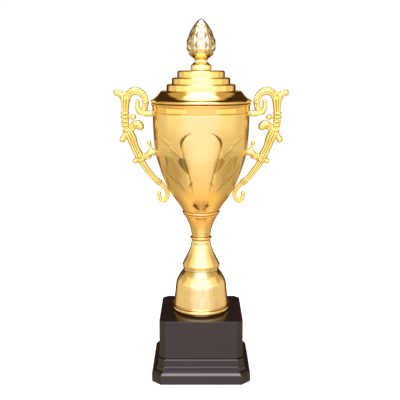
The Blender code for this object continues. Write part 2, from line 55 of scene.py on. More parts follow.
BOWL_RIM = 278.7
BOWL_FLOOR = 169.8
ROD_HOLE = 3.6
STUD_HOLE = 2.3
BLOCK_HALF = 42.2
BLOCK_CHAMFER = 5.4
SKIRT_HALF = 50.0
SKIRT_CHAMFER = 9.2
BLOCK_TOP = 63.5
BLOCK_WALL = 2.5
BLOCK_BEVEL = 0.9
SKIRT_TOP = 23.8
SKIRT_CEILING = 21.3
SKIRT_BEVEL = 0.35
LID_TOP = 310.8
LID_WALL = 0.85
SHELL_WALL = 1.0
GAP = 0.3
FLAT_FACE = 6.0
FLOOR_GAP = 0.0001

# Sockets of a Mix node that mixes colours.
COLOUR_A, COLOUR_B, COLOUR_OUT = 6, 7, 2

TROPHY, LID, LID_RING = "trophy", "lid", "lid_ring"


# ---------------------------------------------------------------- outlines
def smooth(points, per_span=8):
    """Points along a Catmull-Rom curve through the given ones."""
    pts = [np.array(p, float) for p in points]
    pts = [2 * pts[0] - pts[1]] + pts + [2 * pts[-1] - pts[-2]]
    result = []
    for a, b, c, d in zip(pts, pts[1:], pts[2:], pts[3:]):
        for k in range(per_span):
            t = k / per_span
            result.append(0.5 * (2 * b + (c - a) * t + (2 * a - 5 * b + 4 * c - d) * t * t
                                 + (3 * b - a - 3 * c + d) * t ** 3))
    result.append(pts[-2])
    return [tuple(p) for p in result]


def arc(center, radius, start, end, count=6):
    """Points on an arc; angles in degrees, anticlockwise from the outward direction."""
    angles = np.radians(np.linspace(start, end, count + 1))
    return [(center[0] + radius * math.cos(a), center[1] + radius * math.sin(a)) for a in angles]


def inset(points, wall):
    """The outline of the inner face of a shell, in the same order."""
    pts = np.array(points, float)
    steps = np.diff(pts, axis=0)
    steps /= np.maximum(np.linalg.norm(steps, axis=1), 1e-9)[:, None]
    normals = np.stack([-steps[:, 1], steps[:, 0]], axis=1)
    joint = np.vstack([normals[:1], normals[:-1] + normals[1:], normals[-1:]])
    joint /= np.linalg.norm(joint, axis=1)[:, None]
    cosine = np.vstack([normals[:1], normals[:-1], normals[-1:]])
    cosine = np.clip((joint * cosine[:len(joint)]).sum(axis=1), 0.6, 1.0)
    return [tuple(p) for p in pts - joint * (wall / cosine)[:, None]]


# ---------------------------------------------------------------- mesh makers
def finish_piece(obj, body, material, replaced, sharp=35.0, flat=False, flat_over=None):
    """Shade the piece, give it its material and hand it to the frame.

    Edges above the sharp angle, in degrees, stay crisp.  Faces larger than flat_over square
    millimetres are shaded as true flats.
    """
    mesh = obj.data
    mesh.materials.clear()
    mesh.materials.append(material)
    if flat:
        mesh.shade_flat()
    else:
        mesh.shade_smooth()
        if sharp:
            mesh.set_sharp_from_angle(angle=math.radians(sharp))
    if flat_over:
        for face in mesh.polygons:
            if face.area > flat_over * MM * MM:
                face.use_smooth = False
    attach(obj, body)
    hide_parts(*replaced)


def new_object(name, verts, faces):
    mesh = bpy.data.meshes.new(name)
    mesh.from_pydata(verts, [], faces)
    mesh.update()
    obj = bpy.data.objects.new(name, mesh)
    bpy.context.scene.collection.objects.link(obj)
    return obj


def turned(name, outline, segments, closed=True):
    """Spin an outline about the axis; an open outline starts and ends on the axis."""
    radii = np.array([p[0] for p in outline]) * MM
    heights = np.array([p[1] for p in outline]) * MM + LIFT
    angles = np.linspace(0.0, 2 * np.pi, segments, endpoint=False) - np.pi / 2
    verts, faces = [], []
    first = 0 if closed else 1
    last = len(outline) if closed else len(outline) - 1
    for i in range(first, last):
        x = radii[i] * np.cos(angles)
        y = radii[i] * np.sin(angles)
        verts += list(zip(x.tolist(), y.tolist(), [float(heights[i])] * segments))
    rows = last - first
    for i in range(rows if closed else rows - 1):
        below = (i + 1) % rows
        for k in range(segments):
            after = (k + 1) % segments
            faces.append((i * segments + k, below * segments + k,
                          below * segments + after, i * segments + after))
    if not closed:
        top = len(verts)
        verts += [(0.0, 0.0, float(heights[0])), (0.0, 0.0, float(heights[-1]))]
        base = (rows - 1) * segments
        for k in range(segments):
            after = (k + 1) % segments
            faces.append((top, k, after))
            faces.append((top + 1, base + after, base + k))
    return new_object(name, verts, faces)


def shell(name, outline, wall, segments):
    """A thin turned shell, with its inner face."""
    return turned(name, list(outline) + inset(outline, wall)[::-1], segments)


def chamfer_at(half):
    """The corner cut grows evenly from the block to the skirt's foot."""
    share = (half - BLOCK_HALF) / (SKIRT_HALF - BLOCK_HALF)
    return BLOCK_CHAMFER + share * (SKIRT_CHAMFER - BLOCK_CHAMFER)


def octagon(half, chamfer, height):
    """The corners of a square with cut corners, in metres."""
    side = half - chamfer
    flat = [(half, -side), (half, side), (side, half), (-side, half),
            (-half, side), (-half, -side), (-side, -half), (side, -half)]
    return [(x * MM, y * MM, height * MM + LIFT) for x, y in flat]


def square_sweep(name, outline, bevel):
    """Sweep a closed outline of (half width, chamfer, height) round a cut square; soften edges."""
    verts = [corner for level in outline for corner in octagon(*level)]
    levels = len(outline)
    faces = []
    for i in range(levels):
        below = (i + 1) % levels
        for k in range(8):
            after = (k + 1) % 8
            faces.append((i * 8 + k, below * 8 + k, below * 8 + after, i * 8 + after))
    obj = new_object(name, verts, faces)
    soften(obj, bevel)
    return obj


def apply_modifiers(obj):
    """Swap the mesh for the one that its modifiers give."""
    bpy.context.view_layer.update()
    graph = bpy.context.evaluated_depsgraph_get()
    mesh = bpy.data.meshes.new_from_object(obj.evaluated_get(graph), depsgraph=graph)
    obj.modifiers.clear()
    old = obj.data
    obj.data = mesh
    bpy.data.meshes.remove(old)


def soften(obj, width, segments=3, angle=12.0):
    """Round the edges of a mesh."""
    bevel = obj.modifiers.new("soft edges", "BEVEL")
    bevel.width = width * MM
    bevel.segments = segments
    bevel.limit_method = "ANGLE"
    bevel.angle_limit = math.radians(angle)
    apply_modifiers(obj)


# ---------------------------------------------------------------- materials
# Each finish has a light and a deep tone, and a lowest and a highest roughness.
GOLD_LIGHT = (0.90, 0.61, 0.22)
GOLD_DEEP = (0.86, 0.55, 0.18)
SATIN_LIGHT = (0.85, 0.63, 0.26)
SATIN_DEEP = (0.82, 0.59, 0.23)
LEAF_GOLD = (0.86, 0.53, 0.16)
# Painted dark reflection: the colour the polished leaves take where they would mirror the studio's
# dark corners; also the painted shade of the engraved lines.
PAINTED_LEAF_REFLECTION = (0.115, 0.075, 0.018)
LEAF_ROUGHNESS = 0.10
STREAK_LIGHT = (0.89, 0.68, 0.34)
STREAK_DEEP = (0.80, 0.56, 0.22)
SPECK = (0.36, 0.24, 0.07)
CAST_LIGHT = (0.93, 0.77, 0.26)
CAST_DEEP = (0.87, 0.68, 0.18)
# Painted shade: the dark colour put in the casting's hollows.
CAST_PAINTED_SHADE = (0.20, 0.12, 0.02)
CHAMPAGNE_LIGHT = (0.76, 0.63, 0.41)
CHAMPAGNE_DEEP = (0.64, 0.51, 0.31)
BLACK_LIGHT = (0.012, 0.0075, 0.0070)
BLACK_DEEP = (0.007, 0.0042, 0.0040)
BLACK_GLINT = (0.92, 0.78, 0.73, 1.0)
PLASTIC_IOR = 1.52
# Noise stretched along the axes, in cells per metre.
TURNING_LINES = (60, 60, 900)
BOWL_LINES = (40, 40, 1500)
UPRIGHT_STREAKS = (520, 520, 70)
LATHE_RINGS = (20, 20, 700)
DULL_SPECKS = (210, 210, 190)


class Nodes:
    """A short way to write a node tree."""

    def __init__(self, name):
        self.material = bpy.data.materials.new(name)
        self.material.use_nodes = True
        self.tree = self.material.node_tree
        self.shader = self.tree.nodes["Principled BSDF"]

    def add(self, kind, **values):
        node = self.tree.nodes.new(kind)
        for key, value in values.items():
            if hasattr(node, key):
                setattr(node, key, value)
            else:
                node.inputs[key.replace("_", " ")].default_value = value
        return node

    def link(self, source, target):
        self.tree.links.new(source, target)

    def coords(self, scale):
        """Object coordinates, stretched by a scale along each axis."""
        place = self.add("ShaderNodeTexCoord")
        stretch = self.add("ShaderNodeMapping")
        stretch.inputs["Scale"].default_value = scale
        self.link(place.outputs["Object"], stretch.inputs["Vector"])
        return stretch.outputs["Vector"]

    def noise(self, scale, detail=3.0, stretch=(1.0, 1.0, 1.0), rough=0.55):
        node = self.add("ShaderNodeTexNoise")
        node.inputs["Scale"].default_value = scale
        node.inputs["Detail"].default_value = detail
        node.inputs["Roughness"].default_value = rough
        self.link(self.coords(stretch), node.inputs["Vector"])
        return node.outputs["Fac"]

    def spread(self, source, low, high, start=0.3, end=0.7):
        node = self.add("ShaderNodeMapRange")
        node.inputs["From Min"].default_value = start
        node.inputs["From Max"].default_value = end
        node.inputs["To Min"].default_value = low
        node.inputs["To Max"].default_value = high
        self.link(source, node.inputs["Value"])
        return node.outputs["Result"]

    def blend(self, factor, first, second):
        """Mix two colours or two sockets by a factor socket."""
        node = self.add("ShaderNodeMix", data_type="RGBA")
        self.link(factor, node.inputs["Factor"])
        for value, target in ((first, node.inputs[COLOUR_A]), (second, node.inputs[COLOUR_B])):
            if isinstance(value, tuple):
                target.default_value = (*value, 1.0)
            else:
                self.link(value, target)
        return node.outputs[COLOUR_OUT]

    def math(self, operation, first, second=0.0):
        node = self.add("ShaderNodeMath", operation=operation)
        for value, target in ((first, node.inputs[0]), (second, node.inputs[1])):
            if isinstance(value, float):
                target.default_value = value
            else:
                self.link(value, target)
        return node.outputs[0]

    def bump(self, height, strength, distance, under=None):
        node = self.add("ShaderNodeBump")
        node.inputs["Strength"].default_value = strength
        node.inputs["Distance"].default_value = distance
        self.link(height, node.inputs["Height"])
        if under is not None:
            self.link(under, node.inputs["Normal"])
        return node.outputs["Normal"]

    def attribute(self, name):
        node = self.add("ShaderNodeAttribute")
        node.attribute_name = name
        return node.outputs["Fac"]

    def colour(self, source):
        self.link(source, self.shader.inputs["Base Color"])

    def roughness(self, source):
        self.link(source, self.shader.inputs["Roughness"])

    def normal(self, source):
        self.link(source, self.shader.inputs["Normal"])


def gold(name, light, deep, rough_low, rough_high, brushed):
    """Plated gold: slight shifts of tone, smudges in the polish and fine turning lines."""
    n = Nodes(name)
    n.shader.inputs["Metallic"].default_value = 1.0
    tone = n.spread(n.noise(38.0, 4.0), 0.0, 1.0)
    n.colour(n.blend(tone, light, deep))
    smudge = n.noise(90.0, 5.0)
    lines = n.noise(1.0, 2.0, TURNING_LINES)
    mixed = n.math("ADD", n.math("MULTIPLY", smudge, 0.6), n.math("MULTIPLY", lines, 0.4))
    n.roughness(n.spread(mixed, rough_low, rough_high, 0.35, 0.65))
    wavy = n.bump(n.noise(55.0, 2.0), 0.06, 0.0006)
    n.normal(n.bump(lines, brushed, 0.00005, wavy))
    return n.material


def bowl_gold():
    """Satin body with polished leaves; the mesh's own 'polish' says which is which, and a second
    attribute darkens the base colour with painted dark reflections and painted shade.
    """
    n = Nodes("engraved_gold")
    n.shader.inputs["Metallic"].default_value = 1.0
    polish = n.attribute("polish")
    tone = n.spread(n.noise(30.0, 4.0), 0.0, 1.0)
    satin = n.blend(tone, SATIN_LIGHT, SATIN_DEEP)
    plated = n.blend(polish, satin, LEAF_GOLD)
    # Painted dark reflections on the polished leaves and painted shade in their engraved lines,
    # mixed into the base colour by the second attribute.
    n.colour(n.blend(n.attribute("painted_dark"), plated, PAINTED_LEAF_REFLECTION))
    lines = n.noise(1.0, 2.0, BOWL_LINES)
    grain = n.noise(900.0, 2.0)
    satin_rough = n.spread(n.math("ADD", n.math("MULTIPLY", lines, 0.5),
                                  n.math("MULTIPLY", grain, 0.5)), 0.24, 0.38, 0.35, 0.65)
    keep = n.math("SUBTRACT", 1.0, polish)
    n.roughness(n.math("ADD", n.math("MULTIPLY", satin_rough, keep),
                       n.math("MULTIPLY", polish, LEAF_ROUGHNESS)))
    texture = n.math("MULTIPLY", n.math("ADD", grain, n.math("MULTIPLY", lines, 0.7)), keep)
    n.normal(n.bump(texture, 0.16, 0.00006))
    return n.material


def turned_gold():
    """Spun and buffed gold: short upright streaks, faint lathe rings and a few dull specks."""
    n = Nodes("turned_gold")
    n.shader.inputs["Metallic"].default_value = 1.0
    streaks = n.noise(1.0, 3.0, UPRIGHT_STREAKS)
    rings = n.noise(1.0, 2.0, LATHE_RINGS)
    specks = n.spread(n.noise(1.0, 2.0, DULL_SPECKS), 0.0, 0.40, 0.68, 0.80)
    light = n.blend(n.spread(streaks, 0.0, 1.0), STREAK_LIGHT, STREAK_DEEP)
    n.colour(n.blend(specks, light, SPECK))
    mixed = n.math("ADD", n.math("MULTIPLY", streaks, 0.6), n.math("MULTIPLY", rings, 0.4))
    n.roughness(n.spread(mixed, 0.09, 0.24, 0.35, 0.65))
    under = n.bump(rings, 0.25, 0.00004)
    n.normal(n.bump(streaks, 0.30, 0.00010, under))
    return n.material


def cast_gold():
    """Gilded casting: bright on its ridges, with painted shade darkening its hollows."""
    n = Nodes("cast_gold")
    n.shader.inputs["Metallic"].default_value = 1.0
    shape = n.add("ShaderNodeNewGeometry").outputs["Pointiness"]
    tone = n.spread(n.noise(150.0, 4.0), 0.0, 1.0)
    ridge = n.blend(tone, CAST_LIGHT, CAST_DEEP)
    # Painted shade: Pointiness below about 0.5 marks a hollow, which gets the dark colour.
    hollow_painted_shade = n.spread(shape, 1.0, 0.0, 0.44, 0.505)
    n.colour(n.blend(hollow_painted_shade, ridge, CAST_PAINTED_SHADE))
    n.roughness(n.spread(n.noise(420.0, 4.0), 0.12, 0.26))
    n.normal(n.bump(n.noise(500.0, 3.0), 0.22, 0.00012))
    return n.material


def champagne():
    """Metallised plastic of the faceted bud, with slight shifts of tone."""
    n = Nodes("champagne_gold")
    n.shader.inputs["Metallic"].default_value = 1.0
    tone = n.spread(n.noise(120.0, 3.0), 0.0, 1.0)
    n.colour(n.blend(tone, CHAMPAGNE_LIGHT, CHAMPAGNE_DEEP))
    n.roughness(n.spread(n.noise(260.0, 3.0), 0.03, 0.09))
    n.normal(n.bump(n.noise(300.0, 2.0), 0.05, 0.0002))
    return n.material


def black_plastic():
    """Gloss black moulding: smudged polish, a long ripple and a fine grain."""
    n = Nodes("gloss_black_plastic")
    tone = n.spread(n.noise(24.0, 4.0), 0.0, 1.0)
    n.colour(n.blend(tone, BLACK_LIGHT, BLACK_DEEP))
    n.shader.inputs["IOR"].default_value = PLASTIC_IOR
    n.shader.inputs["Specular Tint"].default_value = BLACK_GLINT
    smudge = n.noise(60.0, 6.0)
    n.roughness(n.spread(smudge, 0.09, 0.18))
    ripple = n.bump(n.noise(18.0, 2.0), 0.10, 0.001)
    n.normal(n.bump(n.noise(1400.0, 2.0), 0.05, 0.00003, ripple))
    return n.material


def plain_metal(name, light, deep, rough_low, rough_high, grain):
    """Bare or zinc-plated metal, mottled and grained."""
    n = Nodes(name)
    n.shader.inputs["Metallic"].default_value = 1.0
    n.colour(n.blend(n.spread(n.noise(grain, 4.0), 0.0, 1.0), light, deep))
    n.roughness(n.spread(n.noise(grain * 3, 4.0), rough_low, rough_high))
    n.normal(n.bump(n.noise(grain * 8, 3.0), 0.12, 0.0001))
    return n.material


def plain_matte(name, light, deep, rough_low, rough_high, grain, bump):
    """Plastic, board or rubber, mottled and grained."""
    n = Nodes(name)
    n.colour(n.blend(n.spread(n.noise(grain, 5.0), 0.0, 1.0), light, deep))
    n.roughness(n.spread(n.noise(grain * 2, 4.0), rough_low, rough_high))
    n.normal(n.bump(n.noise(grain * 6, 4.0), bump, 0.0002))
    return n.material


POLISHED = gold("polished_gold", GOLD_LIGHT, GOLD_DEEP, 0.05, 0.11, 0.05)
PALE = gold("pale_gold", (0.93, 0.74, 0.32), (0.90, 0.69, 0.27), 0.05, 0.11, 0.05)
TURNED = turned_gold()
SATIN = gold("satin_gold", (0.90, 0.62, 0.23), (0.85, 0.55, 0.19), 0.26, 0.38, 0.2)
CAST = cast_gold()
ENGRAVED = bowl_gold()
CHAMPAGNE = champagne()
BLACK = black_plastic()
ZINC = plain_metal("zinc_plate", (0.62, 0.63, 0.66), (0.46, 0.47, 0.50), 0.22, 0.40, 180.0)
IRON = plain_metal("raw_iron", (0.16, 0.15, 0.15), (0.09, 0.09, 0.10), 0.50, 0.75, 90.0)
AMBER = plain_matte("amber_plastic", (0.20, 0.10, 0.025), (0.13, 0.06, 0.015),
                    0.3, 0.45, 60.0, 0.05)
BOARD = plain_matte("fibre_board", (0.13, 0.09, 0.06), (0.07, 0.05, 0.035),
                    0.75, 0.95, 200.0, 0.5)
RUBBER = plain_matte("pad_rubber", (0.035, 0.034, 0.034), (0.02, 0.02, 0.02),
                     0.65, 0.85, 300.0, 0.3)


# ---------------------------------------------------------------- plinth
def build_plinth():
    """The hollow block on its stepped skirt, each with a hole for the rod."""
    outer = [(50.0, 0.0), (50.0, 8.3), (49.3, 9.1), (47.2, 11.1), (45.2, 11.6), (44.5, 15.7),
             (43.5, 16.2), (43.3, 22.9), (42.4, SKIRT_TOP)]
    inner = [(41.0, SKIRT_CEILING), (41.4, 12.0), (44.9, 7.0), (44.9, 2.8), (47.2, 2.8),
             (47.2, 0.0)]
    hole = ROD_HOLE * (2.0 - math.sqrt(2.0))
    skirt = [(half, chamfer_at(half), z) for half, z in reversed(outer)]
    skirt += [(half, chamfer_at(half), z) for half, z in reversed(inner)]
    skirt += [(ROD_HOLE, hole, SKIRT_CEILING), (ROD_HOLE, hole, SKIRT_TOP)]
    finish_piece(square_sweep("skirt_moulding", skirt, SKIRT_BEVEL), TROPHY,
                 BLACK, ["plinth_skirt"], flat_over=FLAT_FACE)
    inside = BLOCK_HALF - BLOCK_WALL
    ceiling = BLOCK_TOP - BLOCK_WALL
    foot = SKIRT_TOP + GAP
    block = [(BLOCK_HALF, BLOCK_CHAMFER, BLOCK_TOP), (BLOCK_HALF, BLOCK_CHAMFER, foot),
             (inside, chamfer_at(inside), foot), (inside, chamfer_at(inside), ceiling),
             (ROD_HOLE, hole, ceiling), (ROD_HOLE, hole, BLOCK_TOP)]
    finish_piece(square_sweep("block_moulding", block, BLOCK_BEVEL), TROPHY,
                 BLACK, ["plinth_block"], flat_over=FLAT_FACE)


# ---------------------------------------------------------------- stem
def build_stem():
    """The turned pieces between the plinth and the cup, from the foot ring up."""
    ring = arc((28.6, 67.6), 1.3, 90, 20, 5) + arc((28.5, 66.2), 1.4, 10, -40, 5)
    ring += [(29.3, 64.4), (28.9, BLOCK_TOP + GAP), (22.0, BLOCK_TOP + GAP), (22.0, 68.9)]
    finish_piece(turned("foot_ring_fine", ring, 128), TROPHY, POLISHED,
                 ["foot_ring"])

    bell = [(ROD_HOLE, 107.0), (17.2, 107.0)] + arc((17.6, 105.7), 1.3, 80, 35, 4)
    bell += smooth([(19.8, 105.0), (21.7, 102.3), (23.9, 98.4), (25.4, 95.0), (26.2, 91.4),
                    (26.9, 84.6), (27.7, 77.4), (28.35, 70.0), (28.4, 69.2)], 5)
    finish_piece(shell("bell_fine", bell, SHELL_WALL, 144), TROPHY, TURNED,
                 ["bell"])

    cone = [(ROD_HOLE, 138.7), (8.8, 138.7)] + arc((8.8, 137.7), 1.0, 70, 10, 3)
    cone += smooth([(10.0, 136.4), (10.5, 132.8), (11.9, 128.5), (13.7, 124.2), (15.8, 120.0),
                    (18.0, 115.7), (19.0, 113.6)], 5)
    cone += arc((18.5, 112.4), 1.05, 25, -30, 4) + [(18.75, 109.6), (18.45, 108.2), (18.45, 107.3)]
    finish_piece(shell("cone_fine", cone, SHELL_WALL, 128), TROPHY, TURNED,
                 ["stem_cone"])

    bead = arc((9.5, 140.7), 1.7, 90, -90, 12) + [(ROD_HOLE, 139.0), (ROD_HOLE, 142.4)]
    finish_piece(turned("lower_bead_fine", bead, 96), TROPHY, POLISHED,
                 ["lower_bead"])

    neck = [(ROD_HOLE, 166.2), (17.0, 166.2)] + arc((17.4, 165.4), 0.8, 80, -20, 4)
    neck += smooth([(17.6, 164.7), (16.0, 162.2), (14.5, 159.4), (12.7, 155.3), (11.3, 151.4),
                    (10.4, 147.2), (9.8, 144.0), (9.7, 142.7)], 5)
    finish_piece(shell("neck_fine", neck, SHELL_WALL, 128), TROPHY, SATIN, ["neck"])

    bead = arc((17.9, 168.0), 1.5, 90, -90, 12) + [(ROD_HOLE, 166.5), (ROD_HOLE, 169.5)]
    finish_piece(turned("upper_bead_fine", bead, 128), TROPHY, POLISHED,
                 ["upper_bead"])


# ---------------------------------------------------------------- cup
BOWL_SEGMENTS = 400
INNER_STEP = 3          # the smooth inside takes every third ring of the outside
ENGRAVED_FROM, ENGRAVED_TO = 170.5, 266.5
POLISHED_FROM = 269.2
INSIDE_POLISH = 0.35
SIDE_FADE = 0.965       # the engraving ends at this share of the radius, under the handles


def bowl_outline():
    """The cup's outer side: rolled rim, polished band, groove and tapering body."""
    rim = [(47.9, BOWL_RIM), (49.3, BOWL_RIM)] + arc((49.3, 277.95), 0.7, 85, -40, 8)
    rim += smooth([(49.5, 277.1), (49.15, 276.5), (48.95, 275.8), (48.87, 274.8)], 4)
    band = [(48.84, 273.2), (48.8, 271.0)]
    groove = [(48.75, 270.0), (48.5, 269.6), (48.45, 269.3), (48.65, 268.9)]
    body = [(48.65, 268.2), (48.5, 261.5), (48.3, 254.5), (47.8, 245.5), (47.1, 236.0),
            (46.1, 228.8), (44.4, 221.8), (41.6, 213.0), (39.3, 206.4), (36.9, 200.0),
            (34.4, 194.0), (30.7, 187.2), (26.9, 181.6), (23.0, 176.4), (19.9, 171.6),
            (18.8, BOWL_FLOOR)]
    return rim + band + groove + smooth(body, 13)


def leaf_mask(x, z, base, tip, width, belly=0.5):
    """How deep a point lies in a leaf (0 on its edge, 1 on its midrib), and where it lies."""
    base, tip = np.array(base), np.array(tip)
    length = np.linalg.norm(tip - base)
    along = ((x - base[0]) * (tip[0] - base[0]) + (z - base[1]) * (tip[1] - base[1])) / length ** 2
    across = ((x - base[0]) * (tip[1] - base[1]) - (z - base[1]) * (tip[0] - base[0])) / length
    share = np.clip(along, 0.0, 1.0)
    swell = np.power(share, belly) * np.power(1.0 - share, 1.0 - belly)
    half = width * swell / max(belly ** belly * (1 - belly) ** (1 - belly), 1e-6)
    depth = 1.0 - np.abs(across) / np.maximum(half, 1e-6)
    return np.where((along > 0) & (along < 1), depth, -1.0), along, across


def step(value, edge, soft):
    """From 0 to 1 around an edge, over a soft width."""
    t = np.clip((value - edge) / soft + 0.5, 0.0, 1.0)
    return t * t * (3 - 2 * t)


PANEL_HEIGHTS = [172.0, 180.0, 190.0, 201.0, 212.0, 222.0,
                 230.0, 237.0, 243.0, 247.5, 250.5, 252.6]
PANEL_HALVES = [1.2, 4.8, 7.2, 9.4, 11.6, 14.4, 16.8, 18.0, 17.6, 15.6, 12.6, 8.8]
# base, tip, half width, where the belly is, polish and painted dark reflection of each leaf on one
# side
LEAVES = [
    ((12.0, 212.5), (20.0, 228.5), 3.6, 0.72, 1.0, 0.72),
    ((20.5, 228.5), (30.5, 238.5), 2.0, 0.5, 0.6, 0.10),
    ((18.0, 208.0), (31.5, 230.0), 3.6, 0.55, 0.45, 0.14),
    ((20.5, 203.5), (37.5, 220.0), 3.2, 0.5, 0.4, 0.12),
    ((14.0, 197.0), (31.5, 210.0), 2.6, 0.5, 0.55, 0.16),
    ((9.5, 190.0), (22.0, 203.0), 2.2, 0.5, 0.35, 0.06),
    ((8.4, 204.5), (11.6, 199.0), 1.3, 0.5, 0.9, 0.55),
    ((1.8, 173.4), (7.4, 180.5), 2.0, 0.62, 1.0, 0.85),
    ((30.0, 240.0), (41.0, 249.0), 2.2, 0.5, 0.3, 0.0),
    ((32.2, 217.0), (34.6, 229.5), 1.2, 0.7, 0.9, 0.5),
    ((24.5, 207.3), (31.0, 209.4), 0.8, 0.5, 0.9, 0.45),
    ((6.0, 181.0), (13.0, 195.0), 1.6, 0.5, 0.8, 0.0),
]
STALKS = [((6.0, 178.0), (21.0, 206.0)), ((21.0, 206.0), (30.0, 240.0)),
          ((12.0, 190.0), (33.0, 206.0))]
STALK_HALF = 0.9
# The leaves on the right get this share of the left ones' painted dark reflection.
RIGHT_REFLECTION_SHARE = 0.55      # shade of a leaf on the right as a share of the left one's
# Painted shade in the engraved line round each leaf.
LINE_PAINTED_SHADE = 0.34


def leaf_pattern(x, z, left):
    """Relief in millimetres, polish, and painted dark reflection and shade from 0 to 1, for points
    at x to the side and z up.

    left is true in the half that is seen on the left from outside, where the leaves get more painted
    dark reflection.
    """
    side = np.abs(x)
    relief = np.zeros_like(x)
    polish = np.zeros_like(x)
    painted_dark = np.zeros_like(x)

    # the tall panel in the middle: a leaf seen head on, round above and long below
    edge = np.interp(z, PANEL_HEIGHTS, PANEL_HALVES)
    gap = edge - side
    closed = 1.0 - step(z, 253.0, 1.5)
    below = step(z, 174.0, 3.0)
    relief += 0.25 * step(gap, 0.0, 1.2) * (1.0 - step(z, 246.5, 9.0)) * below
    shoulder = closed * step(side, 8.5, 2.0)
    relief -= 0.25 * np.exp(-((gap + 1.0) / 0.9) ** 2) * shoulder * below
    polish = np.maximum(polish, np.exp(-((gap + 0.6) / 0.8) ** 2) * shoulder * below)
    # Crescents round the panel's shoulders: polished, and darkened with painted dark reflection.
    crescent_half = 0.5 + 1.2 * np.exp(-((z - 246.5) / 5.0) ** 2)
    crescent = np.exp(-np.abs((gap + 1.5) / crescent_half) ** 3)
    crescent *= step(z, 237.0, 5.0) * (1.0 - step(z, 252.6, 1.6)) * step(side, 8.6, 1.5)
    painted_dark = np.maximum(painted_dark, crescent)
    polish = np.maximum(polish, crescent)

    for base, tip, width, belly, gloss, reflection_dark in LEAVES:
        inside, along, across = leaf_mask(side, z, base, tip, width, belly)
        body = step(inside, 0.12, 0.3)
        line = np.exp(-((inside + 0.02) / 0.16) ** 2) * (along > -0.05) * (along < 1.05)
        relief += 0.20 * body - 0.16 * line
        relief -= 0.14 * body * np.exp(-(across / 0.35) ** 2)
        polish = np.maximum(polish, gloss * body)
        # Painted dark reflection on each leaf, less on the right, and painted shade on its engraved
        # edge line.
        painted_dark = np.maximum(painted_dark, reflection_dark * body * np.where(left, 1.0, RIGHT_REFLECTION_SHARE))
        painted_dark = np.maximum(painted_dark, LINE_PAINTED_SHADE * line)

    for start, end in STALKS:
        inside = leaf_mask(side, z, start, end, STALK_HALF)[0]
        relief += 0.14 * step(inside, 0.0, 0.6)
    return relief, polish, painted_dark


def build_bowl():
    """The cup with its leaves in relief, and their polish and their painted dark reflection and
    shade as attributes.
    """
    outline = bowl_outline()
    rows = len(outline)
    inner = inset(outline, SHELL_WALL)[::-1]
    inner = inner[::INNER_STEP] + [inner[-1]]
    floor = [(ROD_HOLE, BOWL_FLOOR), (ROD_HOLE, BOWL_FLOOR + SHELL_WALL)]
    bowl = turned("bowl_engraved", outline + floor + inner, BOWL_SEGMENTS)

    mesh = bowl.data
    points = np.empty(len(mesh.vertices) * 3)
    mesh.vertices.foreach_get("co", points)
    points = points.reshape(-1, 3)
    outer = np.zeros(len(points), bool)
    outer[:rows * BOWL_SEGMENTS] = True
    x = points[:, 0] / MM
    y = points[:, 1] / MM
    z = (points[:, 2] - LIFT) / MM
    radius = np.maximum(np.hypot(x, y), 1e-6)
    relief, polish, painted_dark = leaf_pattern(x, z, x * y > 0)
    body = step(z, ENGRAVED_FROM, 1.0) * (1 - step(z, ENGRAVED_TO, 1.5)) * outer
    fade = 1.0 - step(np.abs(x) / radius, SIDE_FADE, 0.04)
    push = relief * body * fade
    points[:, 0] += push * x / radius * MM
    points[:, 1] += push * y / radius * MM
    mesh.vertices.foreach_set("co", points.ravel())
    polish = np.where(z > POLISHED_FROM, 1.0, polish * body * fade)
    polish = np.where(outer, polish, INSIDE_POLISH)
    # The second attribute carries the painted dark reflection and painted shade.
    for name, values in (("polish", polish), ("painted_dark", painted_dark * body * fade)):
        layer = mesh.attributes.new(name, "FLOAT", "POINT")
        layer.data.foreach_set("value", values.astype(np.float32))
    mesh.update()
    finish_piece(bowl, TROPHY, ENGRAVED, ["bowl"], sharp=None)


